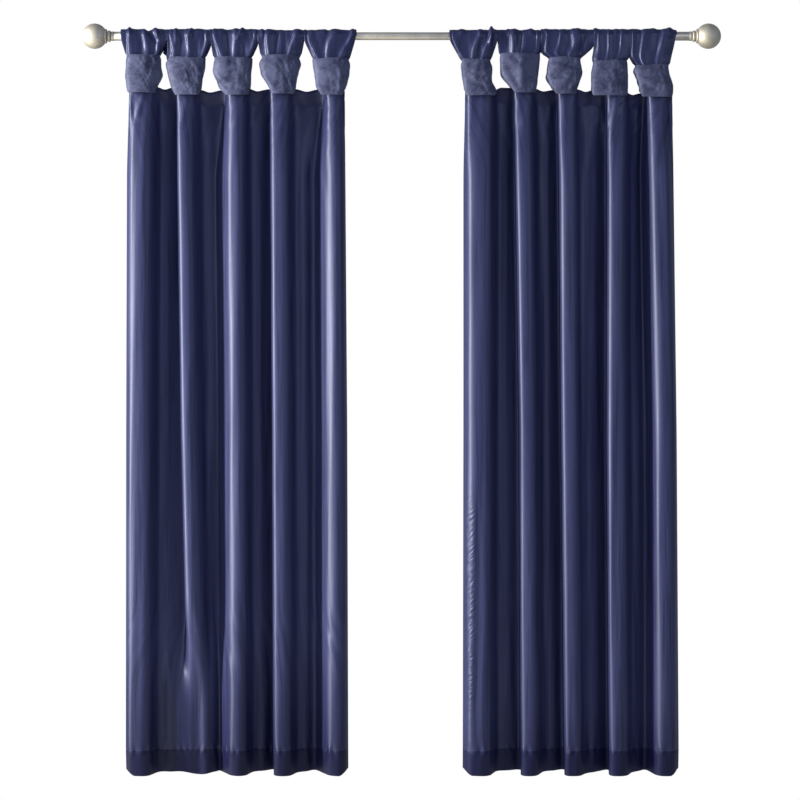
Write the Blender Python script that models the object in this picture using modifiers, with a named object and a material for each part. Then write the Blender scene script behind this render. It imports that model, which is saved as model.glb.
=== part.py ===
"""Tab top curtain pair hanging on a plain rod with ball finials.

The rod runs along X through the origin, the room side is -Y and +Z is up.
Each panel hangs from five gathered loops of its own cloth, and each loop is
drawn in above the heading by a broad band wrapped round its neck.
Sizes in the tables are millimetres; the meshes are metres.
"""

import math
from collections import namedtuple

import bpy
import numpy as np

MILLIMETRE = 0.001

# Rod: one thin tube in the middle, a thicker one over each of its ends
THIN_TUBE_RADIUS = 11.1
THICK_TUBE_RADIUS = 12.7
TUBE_END = 822.0
LEFT_STEP = -411.0
RIGHT_STEP = 399.0
TUBE_SIDES = 24
SEAT_GAP = 0.3

# Ball finial, turned: three beads that grow towards the ball
BALL_RADIUS = 36.0
BALL_CENTRE = 877.5
BALL_RINGS = 8
BEAD_GROOVE_RADIUS = 11.5
Bead = namedtuple("Bead", "start end radius")
BEADS = (
    Bead(822.3, 830.5, 13.6),
    Bead(831.5, 840.5, 16.2),
    Bead(841.5, 849.0, 20.5),
)

# Cloth
CLOTH_THICKNESS = 2.0
HEM_THICKNESS = 3.0
HEM_HEIGHT = 68.0
HEM_STEP = 5.0
PANEL_FOOT = -2107.0
HEM_ROWS = 2
FOLD_BEND = 13.0
FOLD_COLUMNS = (2, 2, 3, 2, 2)
HEADING_DEPTH_SHARE = 0.376
SWELL_LENGTH = 270.0
PANEL_ROWS = (0.0, 0.008, 0.024, 0.06, 0.12, 0.21, 0.35, 0.52, 0.7, 0.86)

# Loops of cloth over the rod
LOOP_RADIUS = 13.45
LOOP_ARC_STEPS = 5
NECK_FRONT = 14.45
NECK_BACK = 10.4
NECK_INSET = 7.0
RIDGE_IN_NECK = 6.0
RIDGE_ON_ROD = 13.5
SIDE_IN_NECK = -7.5
SIDE_ON_ROD = 3.0
RIDGE_BEND = 7.0
RIDGE_COLUMNS = (2, 2, 1, 2, 1, 2)
FRONT_SHARES = (0.62, 0.28)
BACK_LIFT_SHARE = 0.6
OUTER_HANG = -8.0
SEAM_GAP = 0.8

# Bands wrapped round the necks of the loops
BAND_THICKNESS = 3.0
BAND_CENTRE_Y = -1.5
BAND_HALF_DEPTH = 21.0
BAND_BULGE = 2.5
BAND_SIDE_ROUNDNESS = 0.55
BAND_FRONT_ROUNDNESS = 0.35
BAND_SIDE_RISE = 22.0
BAND_BACK_RISE = 16.0
BAND_RISE_START = 3.0
BAND_RISE_DEPTH = 8.0
BAND_SIDES = 14
HEADING_ABOVE_BAND_FOOT = 14.0

# One row for each loop and its band, from left to right: where the loop
# lies on the rod, the band's sides at its top, middle and foot, its top and
# foot, and the three gathered ridges as shares of the loop's width
Tab = namedtuple(
    "Tab",
    "rod_left rod_right top_left top_right mid_left mid_right foot_left foot_right "
    "band_top band_foot ridges_on_rod ridges_in_neck",
)
LEFT_TABS = (
    Tab(-802, -671, -788, -689, -788, -685, -784, -698, -56, -164, (0.18, 0.45, 0.80), (0.12, 0.62, 0.88)),
    Tab(-668, -543, -675, -561, -671, -565, -654, -573, -63, -170, (0.08, 0.39, 0.75), (0.20, 0.60, 0.90)),
    Tab(-541, -411, -538, -428, -536, -430, -513, -432, -63, -170, (0.07, 0.50, 0.89), (0.22, 0.56, 0.92)),
    Tab(-409, -279, -403, -287, -403, -295, -379, -302, -57, -167, (0.17, 0.48, 0.78), (0.21, 0.50, 0.72)),
    Tab(-277, -133, -254, -148, -249, -150, -240, -164, -66, -170, (0.07, 0.58, 0.93), (0.12, 0.44, 0.77)),
)
RIGHT_TABS = (
    Tab(138, 278, 168, 257, 172, 257, 176, 273, -67, -172, (0.07, 0.57, 0.80), (0.10, 0.38, 0.68)),
    Tab(280, 398, 279, 396, 286, 393, 313, 385, -52, -164, (0.29, 0.60, 0.88), (0.34, 0.56, 0.92)),
    Tab(400, 548, 420, 515, 412, 516, 446, 503, -63, -167, (0.12, 0.36, 0.60), (0.12, 0.38, 0.69)),
    Tab(550, 651, 544, 644, 541, 646, 544, 647, -72, -172, (0.17, 0.40, 0.74), (0.08, 0.38, 0.72)),
    Tab(653, 782, 666, 766, 663, 775, 684, 778, -85, -176, (0.07, 0.34, 0.78), (0.10, 0.33, 0.65)),
)

# One row for each fold of a panel, halfway down: the valley before it, its
# shoulder, its crest, the dip behind the crest and the low ridge after it,
# each as a place along the rod and a depth (the room side is negative), and
# how far the whole fold stands to the right at the heading and at the foot
Fold = namedtuple(
    "Fold",
    "valley_x valley_y shoulder_x shoulder_y crest_x crest_y dip_x dip_y ridge_x ridge_y "
    "at_heading at_foot",
)
Edge = namedtuple("Edge", "x y at_heading at_foot")
LEFT_FOLDS = (
    Fold(-785, -12, -771, -34, -733, -42, -691, 20, -674, 14, 3, -1),
    Fold(-631, 36, -637, -32, -608, -42, -562, 20, -548, 8, -14, 15),
    Fold(-528, 26, -493, -28, -470, -38, -425, 14, -405, 4, -8, 0),
    Fold(-369, 38, -374, -32, -345, -42, -302, 8, -282, 2, -6, 4),
    Fold(-250, 30, -216, -34, -199, -42, -173, -18, -164, -12, -5, 1),
)
LEFT_EDGE = Edge(-156, 4, -7, 3)
RIGHT_FOLDS = (
    Fold(178, 4, 190, -28, 233, -42, 273, 22, 296, 14, 0, -2),
    Fold(337, 34, 331, -32, 359, -42, 399, 18, 419, 8, -15, 3),
    Fold(457, 38, 451, -32, 485, -42, 508, -8, 522, -6, -8, 6),
    Fold(587, 34, 583, -32, 613, -42, 648, 10, 668, 6, 2, -1),
    Fold(700, 32, 727, -32, 742, -42, 762, -16, 776, -8, -12, 2),
)
RIGHT_EDGE = Edge(786, 4, -12, 6)

# One row for each opening between two loops: its top, and the panel's heading at its bottom
Window = namedtuple("Window", "top heading")
LEFT_WINDOWS = (Window(-45, -152), Window(-28, -160), Window(-22, -157), Window(-14, -158))
RIGHT_WINDOWS = (Window(-17, -154), Window(-48, -157), Window(-31, -160), Window(-62, -169))

COLLECTION_NAME = "tab_top_curtain_pair"
CLOTH_COLOUR = (0.030, 0.033, 0.085, 1.0)
BAND_COLOUR = (0.060, 0.064, 0.125, 1.0)
METAL_COLOUR = (0.44, 0.42, 0.37, 1.0)


def clear_scene():
    for old in list(bpy.data.objects):
        bpy.data.objects.remove(old, do_unlink=True)


def new_collection(name):
    collection = bpy.data.collections.new(name)
    bpy.context.scene.collection.children.link(collection)
    return collection


def make_material(name, colour, roughness, metallic):
    material = bpy.data.materials.new(name)
    material.use_nodes = True
    shader = material.node_tree.nodes["Principled BSDF"]
    shader.inputs["Base Color"].default_value = colour
    shader.inputs["Roughness"].default_value = roughness
    shader.inputs["Metallic"].default_value = metallic
    material.diffuse_color = colour
    return material


def ease(share):
    """A share of a way, held to 0..1 and eased at both ends."""
    held = np.clip(share, 0.0, 1.0)
    return held * held * (3.0 - 2.0 * held)


def rounded_line(corners, stations, bend):
    """Walk a zigzag of straight runs with its corners rounded.

    A station counts corners, so 1.5 is halfway from corner 1 to corner 2.
    Each point is the mean of the zigzag over a length of bend to either
    side, a reach that shrinks to nothing at the two ends.
    """
    runs = np.linalg.norm(np.diff(corners, axis=0), axis=1)
    reach = np.concatenate(([0.0], np.cumsum(runs)))
    along = np.interp(stations, np.arange(len(reach)), reach)
    half = np.minimum(bend, np.minimum(along, reach[-1] - along))
    places = along[:, None] + half[:, None] * np.linspace(-1.0, 1.0, 9)
    return np.stack([np.interp(places, reach, corners[:, k]).mean(axis=1) for k in (0, 1)], axis=1)


def stations_between(columns):
    """Corner counts along a zigzag, with the given number of steps in each run."""
    steps = [np.arange(count) / count + run for run, count in enumerate(columns)]
    return np.concatenate(steps + [[float(len(columns))]])


def grid_object(name, points, closed, thickness, material, collection):
    """A sheet through a grid of points [row, column], given its thickness by Solidify."""
    rows, columns = points.shape[:2]
    vertices = points.reshape(-1, 3) * MILLIMETRE
    faces = []
    for row in range(rows - 1):
        for column in range(columns if closed else columns - 1):
            after = (column + 1) % columns
            low = row * columns
            high = low + columns
            faces.append((low + column, low + after, high + after, high + column))
    mesh = bpy.data.meshes.new(name)
    mesh.from_pydata(vertices.tolist(), [], faces)
    mesh.shade_smooth()
    sheet = bpy.data.objects.new(name, mesh)
    sheet.data.materials.append(material)
    collection.objects.link(sheet)
    wall = sheet.modifiers.new("thickness", "SOLIDIFY")
    wall.thickness = thickness * MILLIMETRE
    wall.offset = 0.0
    return sheet


def heading_height(tabs, windows, x):
    """Top edge of a panel: hidden under each band, a shallow scoop between two bands."""
    places = []
    heights = []
    for number, tab in enumerate(tabs):
        places.append((tab.foot_left + tab.foot_right) / 2)
        heights.append(tab.band_foot + HEADING_ABOVE_BAND_FOOT)
        if number < len(windows):
            places.append((tab.mid_right + tabs[number + 1].mid_left) / 2)
            heights.append(windows[number].heading)
    return np.interp(x, places, heights)


def panel_section(folds, edge, share_down, drop):
    """Corners of the folds at one height, shallow at the heading and deep below it."""
    high = max(0.0, 1.0 - 2.0 * share_down)
    low = max(0.0, 2.0 * share_down - 1.0)
    depth = HEADING_DEPTH_SHARE + (1.0 - HEADING_DEPTH_SHARE) * ease(drop / SWELL_LENGTH)
    corners = []
    for fold in folds:
        shift = fold.at_heading * high + fold.at_foot * low
        corners.append((fold.valley_x + shift, fold.valley_y * depth))
        corners.append((fold.shoulder_x + shift, fold.shoulder_y * depth))
        corners.append((fold.crest_x + shift, fold.crest_y * depth))
        corners.append((fold.dip_x + shift, fold.dip_y * depth))
        corners.append((fold.ridge_x + shift, fold.ridge_y * depth))
    shift = edge.at_heading * high + edge.at_foot * low
    corners.append((edge.x + shift, edge.y * depth))
    return np.array(corners, dtype=float)


def make_panel(name, folds, edge, tabs, windows, material, collection):
    """One hung panel: the fold section carried from the heading to the foot."""
    stations = stations_between(FOLD_COLUMNS * len(folds))
    heading = np.mean([window.heading for window in windows])
    drop = heading - PANEL_FOOT
    shares = list(PANEL_ROWS)
    for above_foot in (HEM_HEIGHT + HEM_STEP, HEM_HEIGHT, 0.0):
        shares.append(1.0 - above_foot / drop)
    rows = []
    for share in shares:
        corners = panel_section(folds, edge, share, share * drop)
        section = rounded_line(corners, stations, FOLD_BEND)
        top = heading_height(tabs, windows, section[:, 0])
        height = top + (PANEL_FOOT - top) * share
        rows.append(np.column_stack((section, height)))
    panel = grid_object(name, np.array(rows), False, HEM_THICKNESS, material, collection)
    group = panel.vertex_groups.new(name="hem")
    hem_start = (len(shares) - HEM_ROWS) * len(stations)
    group.add(list(range(hem_start, len(shares) * len(stations))), 1.0, "REPLACE")
    wall = panel.modifiers["thickness"]
    wall.vertex_group = group.name
    wall.thickness_vertex_group = CLOTH_THICKNESS / HEM_THICKNESS
    return panel


def band_side(tab, height):
    """Left and right sides of a band at a height."""
    middle = (tab.band_foot + tab.band_top) / 2
    levels = (tab.band_foot, middle, tab.band_top)
    left = np.interp(height, levels, (tab.foot_left, tab.mid_left, tab.top_left))
    right = np.interp(height, levels, (tab.foot_right, tab.mid_right, tab.top_right))
    return left, right


def loop_path(tab, rod_radius):
    """Stations of a loop from its front seam to its back seam: height, depth and outward direction."""
    centre = rod_radius - THICK_TUBE_RADIUS
    middle = (tab.band_foot + tab.band_top) / 2
    path = [
        (tab.band_foot + HEADING_ABOVE_BAND_FOOT, -NECK_FRONT, -1.0, 0.0),
        (middle, -NECK_FRONT, -1.0, 0.0),
        (tab.band_top, -NECK_FRONT, -1.0, 0.0),
    ]
    for share in FRONT_SHARES:
        path.append((tab.band_top * share, -LOOP_RADIUS, -1.0, 0.0))
    for step in range(LOOP_ARC_STEPS + 1):
        turn = math.pi * step / LOOP_ARC_STEPS
        out_y = -math.cos(turn)
        out_z = math.sin(turn)
        path.append((centre + LOOP_RADIUS * out_z, LOOP_RADIUS * out_y, out_y, out_z))
    path.append((tab.band_top, NECK_BACK, 1.0, 0.0))
    path.append((middle, NECK_BACK, 1.0, 0.0))
    path.append((tab.band_foot + HEADING_ABOVE_BAND_FOOT, NECK_BACK, 1.0, 0.0))
    return path


def loop_section(tab, hangs, height):
    """Corners of a loop's gathers at a height: two sides and three ridges with troughs between them.

    Each side hangs straight from the rod down to the top of the opening beside
    it and then runs in to the neck, where it also curls back.
    """
    climb = ease((height - tab.band_top) / (0.0 - tab.band_top))
    neck_left, neck_right = band_side(tab, height)
    levels = [np.clip((height - tab.band_top) / (hang - tab.band_top), 0.0, 1.0) for hang in hangs]
    left = (neck_left + NECK_INSET) * (1 - levels[0]) + tab.rod_left * levels[0]
    right = (neck_right - NECK_INSET) * (1 - levels[1]) + tab.rod_right * levels[1]
    ridges = np.array(tab.ridges_in_neck) * (1 - climb) + np.array(tab.ridges_on_rod) * climb
    troughs = (ridges[:-1] + ridges[1:]) / 2
    ridge = RIDGE_IN_NECK * (1 - climb) + RIDGE_ON_ROD * climb
    side = SIDE_IN_NECK * (1 - climb) + SIDE_ON_ROD * climb
    shares = np.array([0.0, ridges[0], troughs[0], ridges[1], troughs[1], ridges[2], 1.0])
    lifts = np.array([side, ridge, 0.0, ridge, 0.0, ridge, side])
    return np.column_stack((left + (right - left) * shares, lifts))


def make_loop(name, number, tabs, windows, material, collection):
    """One gathered loop: its section carried up, over the rod and down behind."""
    tab = tabs[number]
    stations = stations_between(RIDGE_COLUMNS)
    on_thin_tube = LEFT_STEP < (tab.rod_left + tab.rod_right) / 2 < RIGHT_STEP
    path = loop_path(tab, THIN_TUBE_RADIUS if on_thin_tube else THICK_TUBE_RADIUS)
    left_hang = windows[number - 1].top if number > 0 else OUTER_HANG
    right_hang = windows[number].top if number < len(windows) else OUTER_HANG
    rows = []
    for height, depth, out_y, out_z in path:
        section = rounded_line(loop_section(tab, (left_hang, right_hang), height), stations, RIDGE_BEND)
        x = section[:, 0]
        lift = section[:, 1] * (BACK_LIFT_SHARE if out_y == 1.0 else 1.0)
        rows.append(np.column_stack((x, depth + lift * out_y, height + lift * out_z)))
    for seam in (rows[0], rows[-1]):
        seam[:, 2] = heading_height(tabs, windows, seam[:, 0]) + SEAM_GAP
    return grid_object(name, np.array(rows), False, CLOTH_THICKNESS, material, collection)


def make_band(name, tab, material, collection):
    """One band: a squared ring round the neck whose lower edge lifts at the sides over the heading."""
    turns = -math.pi * 2 * np.arange(BAND_SIDES) / BAND_SIDES
    sides = np.cos(turns)
    fronts = np.sin(turns)
    across = np.sign(sides) * np.abs(sides) ** BAND_SIDE_ROUNDNESS
    deep = np.sign(fronts) * np.abs(fronts) ** BAND_FRONT_ROUNDNESS
    from_front = (BAND_HALF_DEPTH * (1.0 + deep) - BAND_RISE_START) / BAND_RISE_DEPTH
    from_back = (BAND_HALF_DEPTH * (1.0 - deep) - BAND_RISE_START) / BAND_RISE_DEPTH
    front_rise = BAND_SIDE_RISE * ease(from_front)
    back_rise = BAND_BACK_RISE + (BAND_SIDE_RISE - BAND_BACK_RISE) * ease(from_back)
    low = tab.band_foot + np.minimum(front_rise, back_rise)
    middle = (tab.band_foot + tab.band_top) / 2
    rows = []
    for height in (low, middle, (middle + tab.band_top) / 2, tab.band_top):
        left, right = band_side(tab, height)
        share = (height - tab.band_foot) / (tab.band_top - tab.band_foot)
        half_width = (right - left - BAND_THICKNESS) / 2
        half_depth = BAND_HALF_DEPTH + BAND_BULGE * np.sin(math.pi * share)
        x = (left + right) / 2 + half_width * across
        y = BAND_CENTRE_Y + half_depth * deep
        rows.append(np.column_stack((x, y, height + 0.0 * across)))
    return grid_object(name, np.array(rows), True, BAND_THICKNESS, material, collection)


def make_tube(name, start, end, radius, material):
    bpy.ops.mesh.primitive_cylinder_add(
        vertices=TUBE_SIDES,
        radius=radius * MILLIMETRE,
        depth=(end - start) * MILLIMETRE,
        location=((start + end) / 2 * MILLIMETRE, 0.0, 0.0),
        rotation=(0.0, math.pi / 2, 0.0),
    )
    tube = bpy.context.object
    tube.name = name
    tube.data.materials.append(material)
    tube.data.shade_smooth()
    tube.data.set_sharp_from_angle(angle=math.radians(40))
    return tube


def finial_profile():
    """Outline of a finial as (radius, distance from the middle of the rod), from its outer pole inwards."""
    bead = BEADS[-1]
    lowest = math.pi - math.asin(bead.radius / BALL_RADIUS * 0.98)
    profile = []
    for step in range(BALL_RINGS + 1):
        turn = lowest * step / BALL_RINGS
        profile.append((BALL_RADIUS * math.sin(turn), BALL_CENTRE + BALL_RADIUS * math.cos(turn)))
    for bead in reversed(BEADS):
        width = bead.end - bead.start
        profile.append((bead.radius, bead.end - 0.2 * width))
        profile.append((bead.radius, bead.start + 0.2 * width))
        profile.append((BEAD_GROOVE_RADIUS, bead.start))
    profile.append((0.0, BEADS[0].start))
    return profile


def make_finial(name, side, material, collection):
    """One turned finial; side is -1 at the left end and 1 at the right end."""
    profile = finial_profile()
    mesh = bpy.data.meshes.new(name)
    vertices = [(radius * MILLIMETRE, 0.0, reach * MILLIMETRE) for radius, reach in profile]
    edges = [(step, step + 1) for step in range(len(vertices) - 1)]
    mesh.from_pydata(vertices, edges, [])
    finial = bpy.data.objects.new(name, mesh)
    finial.rotation_euler = (0.0, side * math.pi / 2, 0.0)
    finial.data.materials.append(material)
    collection.objects.link(finial)
    turned = finial.modifiers.new("turned", "SCREW")
    turned.steps = 20
    turned.render_steps = 20
    turned.use_merge_vertices = True
    turned.merge_threshold = 0.0001
    turned.use_smooth_shade = True
    return finial


def move_to(collection, thing):
    for holder in list(thing.users_collection):
        holder.objects.unlink(thing)
    collection.objects.link(thing)


def build():
    clear_scene()
    collection = new_collection(COLLECTION_NAME)
    cloth = make_material("curtain_cloth", CLOTH_COLOUR, 0.42, 0.0)
    wrap = make_material("band_cloth", BAND_COLOUR, 0.6, 0.0)
    metal = make_material("brushed_metal", METAL_COLOUR, 0.3, 1.0)

    tubes = (
        make_tube("rod_middle", LEFT_STEP + SEAT_GAP, RIGHT_STEP - SEAT_GAP, THIN_TUBE_RADIUS, metal),
        make_tube("rod_left", -TUBE_END, LEFT_STEP, THICK_TUBE_RADIUS, metal),
        make_tube("rod_right", RIGHT_STEP, TUBE_END, THICK_TUBE_RADIUS, metal),
    )
    for tube in tubes:
        move_to(collection, tube)
    make_finial("finial_left", -1, metal, collection)
    make_finial("finial_right", 1, metal, collection)

    sides = (
        ("left", LEFT_FOLDS, LEFT_EDGE, LEFT_TABS, LEFT_WINDOWS),
        ("right", RIGHT_FOLDS, RIGHT_EDGE, RIGHT_TABS, RIGHT_WINDOWS),
    )
    for side, folds, edge, tabs, windows in sides:
        make_panel(f"panel_{side}", folds, edge, tabs, windows, cloth, collection)
        for number, tab in enumerate(tabs):
            make_loop(f"tab_{side}_{number + 1}", number, tabs, windows, cloth, collection)
            make_band(f"band_{side}_{number + 1}", tab, wrap, collection)


build()
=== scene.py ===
# %% [markdown]
# # A pair of tab top curtains on a rod
#
# Two panels of navy faux silk hang from a metal rod with ball ends. Each panel has five loops of its own
# cloth over the rod, and a broad band of the same cloth, cut across the grain, is wrapped round the neck of
# each loop.
#
# Almost everything here is cloth under tension: it hangs straight down, so its shape is a section seen from above,
# carried from the rod to the floor. That makes a cloth simulation unnecessary. Each piece is a surface worked out
# as a function of two parameters, one across the cloth and one along it, with its creases placed one by one.

# %% [markdown]
# ## Start from the imported part
#
# The imported CAD part is loaded first. It fixes the sizes: every piece below stands for one of its nodes and
# keeps inside its box.

import math
from collections import namedtuple

import bmesh
import bpy
import numpy as np
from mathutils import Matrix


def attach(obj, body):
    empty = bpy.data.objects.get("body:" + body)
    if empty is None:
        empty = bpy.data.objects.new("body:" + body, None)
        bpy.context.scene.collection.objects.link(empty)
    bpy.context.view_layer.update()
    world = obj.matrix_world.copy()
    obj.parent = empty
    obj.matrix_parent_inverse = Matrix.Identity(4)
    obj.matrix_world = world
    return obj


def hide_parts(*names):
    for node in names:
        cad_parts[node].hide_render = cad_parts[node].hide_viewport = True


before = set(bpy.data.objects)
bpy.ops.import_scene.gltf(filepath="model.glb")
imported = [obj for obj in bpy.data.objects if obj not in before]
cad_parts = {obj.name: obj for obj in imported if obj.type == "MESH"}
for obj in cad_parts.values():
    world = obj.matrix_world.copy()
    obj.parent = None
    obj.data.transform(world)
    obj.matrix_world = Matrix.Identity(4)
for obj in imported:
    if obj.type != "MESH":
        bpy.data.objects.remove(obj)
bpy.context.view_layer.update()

# %% [markdown]
# ## The measures
#
# The tables follow the measures that the solids are built from, in millimetres, with X along the rod, the
# room at minus Y and Z up from the rod's axis. A named row is easier to read and to correct than a list of
# bare points. One row describes one loop and its band, or one fold of a panel halfway down.

# %% Loops, bands and windows
Tab = namedtuple(
    "Tab",
    "rod_left rod_right top_left top_right mid_left mid_right foot_left foot_right "
    "band_top band_foot ridges_on_rod ridges_in_neck ridge_heights",
)
LEFT_TABS = (
    Tab(-801, -671, -788, -689, -788, -685, -784, -698, -56, -164,
        (0.18, 0.49, 0.76), (0.10, 0.66, 0.93), (1.0, 1.0, 0.6)),
    Tab(-668, -546, -675, -561, -671, -565, -654, -573, -63, -170,
        (0.06, 0.44, 0.88), (0.19, 0.61, 0.95), (0.7, 1.0, 0.8)),
    Tab(-543, -411, -538, -428, -536, -430, -513, -432, -63, -170,
        (0.05, 0.50, 0.92), (0.22, 0.57, 0.95), (1.0, 0.9, 0.5)),
    Tab(-409, -279, -403, -287, -403, -295, -379, -302, -57, -167,
        (0.18, 0.48, 0.78), (0.21, 0.46, 0.72), (1.0, 0.2, 1.0)),
    Tab(-277, -133, -254, -148, -249, -150, -240, -164, -66, -170,
        (0.08, 0.53, 0.92), (0.11, 0.41, 0.78), (0.5, 1.0, 1.0)),
)
RIGHT_TABS = (
    Tab(138, 273, 168, 257, 172, 257, 176, 273, -67, -172,
        (0.06, 0.62, 0.83), (0.06, 0.40, 0.72), (0.3, 1.0, 1.0)),
    Tab(275, 398, 279, 396, 286, 393, 313, 385, -52, -164,
        (0.31, 0.58, 0.89), (0.34, 0.56, 0.92), (1.0, 0.6, 0.5)),
    Tab(400, 548, 420, 515, 412, 516, 446, 503, -63, -167,
        (0.10, 0.36, 0.59), (0.08, 0.32, 0.67), (0.3, 0.6, 1.0)),
    Tab(550, 651, 544, 644, 541, 646, 544, 647, -72, -172,
        (0.12, 0.39, 0.74), (0.10, 0.43, 0.74), (0.4, 0.8, 0.7)),
    Tab(653, 782, 666, 766, 663, 775, 684, 778, -85, -176,
        (0.06, 0.28, 0.72), (0.06, 0.26, 0.68), (0.4, 0.8, 1.0)),
)
Window = namedtuple("Window", "top heading")
LEFT_WINDOWS = (Window(-45, -152), Window(-28, -160), Window(-22, -157), Window(-14, -158))
RIGHT_WINDOWS = (Window(-17, -154), Window(-48, -157), Window(-31, -160), Window(-62, -169))

# %% Folds of the panels
Fold = namedtuple(
    "Fold",
    "valley_x valley_y shoulder_x shoulder_y crest_x crest_y dip_x dip_y ridge_x ridge_y "
    "at_heading at_foot",
)
Edge = namedtuple("Edge", "x y at_heading at_foot")
LEFT_FOLDS = (
    Fold(-785, -12, -771, -38, -722, -42, -691, 18, -674, 15, 3, -1),
    Fold(-624, 36, -629, -38, -588, -42, -558, 18, -546, 14, -14, 24),
    Fold(-528, 30, -483, -37, -448, -41, -423, 14, -406, 10, -8, 0),
    Fold(-365, 38, -369, -38, -324, -42, -299, 8, -282, 4, -6, 4),
    Fold(-250, 32, -204, -38, -169, -42, -163, -34, -160, -20, -5, 1),
)
LEFT_EDGE = Edge(-156, 0, -7, 3)
RIGHT_FOLDS = (
    Fold(178, 4, 192, -36, 250, -42, 276, 20, 298, 16, 0, -2),
    Fold(341, 34, 336, -38, 379, -42, 405, 16, 421, 11, -15, 4),
    Fold(460, 38, 455, -38, 499, -42, 516, -6, 527, -8, -8, 10),
    Fold(590, 34, 585, -38, 633, -42, 655, 8, 668, 6, 2, 7),
    Fold(700, 34, 728, -38, 771, -42, 777, -32, 781, -18, -19, 2),
)
RIGHT_EDGE = Edge(786, 0, -12, 6)
PANEL_FOOT = -2107.0
HEADING_ABOVE_BAND_FOOT = 14.0
print("loops:", len(LEFT_TABS) + len(RIGHT_TABS), "folds:", len(LEFT_FOLDS) + len(RIGHT_FOLDS))

# %% [markdown]
# ## From a grid of points to a piece of cloth
#
# Cloth is a sheet, so each piece starts as a grid of points. The grid becomes quads, and Solidify then
# gives the sheet its thickness on both sides. Each point also carries its place on the flat cloth, in
# metres, as the UV map: a weave drawn in that map follows the folds, as it would on the real cloth.

# %% Grid to mesh
MILLIMETRE = 0.001


def ease(share):
    """0 up to 0, 1 from 1, and a smooth S between them: 3s² − 2s³."""
    held = np.clip(share, 0.0, 1.0)
    return held * held * (3.0 - 2.0 * held)


def walked(points, axis):
    """Distance walked from the first point to each point along one axis of a grid, in its own unit."""
    steps = np.linalg.norm(np.diff(points, axis=axis), axis=2)
    lengths = np.cumsum(steps, axis=axis)
    return np.insert(lengths, 0, 0.0, axis=axis)


def quads_of(grid):
    """The four corners of each cell of a grid [row, column], as one row each."""
    cells = np.stack((grid[:-1, :-1], grid[:-1, 1:], grid[1:, 1:], grid[1:, :-1]), axis=2)
    return cells.reshape(-1, 4, *grid.shape[2:])


def grid_piece(name, points, closed=False):
    """A mesh through a grid of points in millimetres, with the flat cloth's metres as its UV map.

    closed says that the last column is the first one again.
    """
    welded = points[:, :-1] if closed else points
    numbers = np.arange(welded.shape[0] * welded.shape[1]).reshape(welded.shape[:2])
    if closed:
        numbers = np.column_stack((numbers, numbers[:, 0]))
    mesh = bpy.data.meshes.new(name)
    mesh.from_pydata((welded.reshape(-1, 3) * MILLIMETRE).tolist(), [], quads_of(numbers).tolist())
    flat = np.stack((walked(points, 1), walked(points, 0)), axis=2) * MILLIMETRE
    flat[:, :, 0] -= flat[:, :, 0].mean(axis=1, keepdims=True) - flat[:, :, 0].mean()
    mesh.uv_layers.new(name="cloth").data.foreach_set("uv", quads_of(flat).ravel())
    mesh.shade_smooth()
    piece = bpy.data.objects.new(name, mesh)
    bpy.context.scene.collection.objects.link(piece)
    return piece


# %% [markdown]
# Real cloth never bends in a sharp corner. A zigzag of straight runs, walked with a short moving average,
# gives long flat faces joined by tight soft turns, which is how a stiff satin stands. A spline would swell
# between its points and would lose the flat faces.

# %% Rounded zigzags
AVERAGED = np.linspace(-1.0, 1.0, 21)


def round_each(stations, bend):
    """The places to average for each station: within bend to either side, and never past the ends."""
    half = np.minimum(bend, np.minimum(stations, stations[-1] - stations))
    return stations[:, None] + half[:, None] * AVERAGED


def rounded(corners, columns, bend):
    """Even steps along a zigzag, each the mean of the zigzag over bend millimetres to either side.

    The first two values of a corner are its place; any others, such as a drift, are carried along with it.
    """
    runs = np.linalg.norm(np.diff(corners[:, :2], axis=0), axis=1)
    reach = np.concatenate(([0.0], np.cumsum(runs)))
    places = round_each(np.linspace(0.0, reach[-1], columns), bend)
    return np.stack([np.interp(places, reach, values).mean(axis=1) for values in corners.T], axis=1)


def corner_weights(count, columns, bend):
    """How much each corner of a zigzag weighs in each column, with its corners rounded over bend of a run."""
    places = round_each(np.linspace(0.0, count - 1.0, columns), bend)
    corners = np.arange(count)
    return np.stack([np.interp(places, corners, row).mean(axis=1) for row in np.eye(count)], axis=1)


# %% [markdown]
# ## Creases placed one by one
#
# Folds come from the section, but creases are where cloth is pinched: under a band, where a loop is
# gathered, along a side hem that was sewn a little too tight. Each is one row of a table, a straight ridge
# or trough with its own width and height. Faint waves without a pattern are added after them, because no
# real cloth is ever quite smooth.

# %% Creases and faint waves
Crease = namedtuple("Crease", "x0 z0 x1 z1 width height")


def crease_push(x, z, creases):
    """How far the creases push a sheet out of itself, in millimetres.

    Across a crease the push falls off as exp(−(distance / width)²), and along it as 1 − (2t − 1)⁴, where t goes
    from 0 at one end to 1 at the other. A negative height is a trough.
    """
    if not creases:
        return np.zeros_like(x)
    table = np.array(creases, dtype=float)[:, :, None, None]
    x0, z0, x1, z1, width, height = np.moveaxis(table, 1, 0)
    length = np.hypot(x1 - x0, z1 - z0)
    share = ((x - x0) * (x1 - x0) + (z - z0) * (z1 - z0)) / length**2
    away = ((x - x0) * (z1 - z0) - (z - z0) * (x1 - x0)) / length
    fade = np.clip(1.0 - (2.0 * share - 1.0) ** 4, 0.0, 1.0)
    return (height * np.exp(-((away / width) ** 2)) * fade).sum(axis=0)


def faint_waves(across, along, across_length, along_length, height, seed):
    """The sum of nine sine waves of uneven length and direction, which rarely rises above the height."""
    chance = np.random.default_rng(seed)
    total = np.zeros(np.broadcast(across, along).shape)
    for _ in range(9):
        stretch = chance.uniform(0.6, 1.7)
        turn = chance.uniform(-1.0, 1.0)
        start = chance.uniform(0.0, 2.0 * math.pi)
        wave = across / (across_length * stretch) + turn * along / (along_length * stretch)
        total += np.sin(2.0 * math.pi * wave + start) * stretch
    return total * height / 5.0


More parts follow.
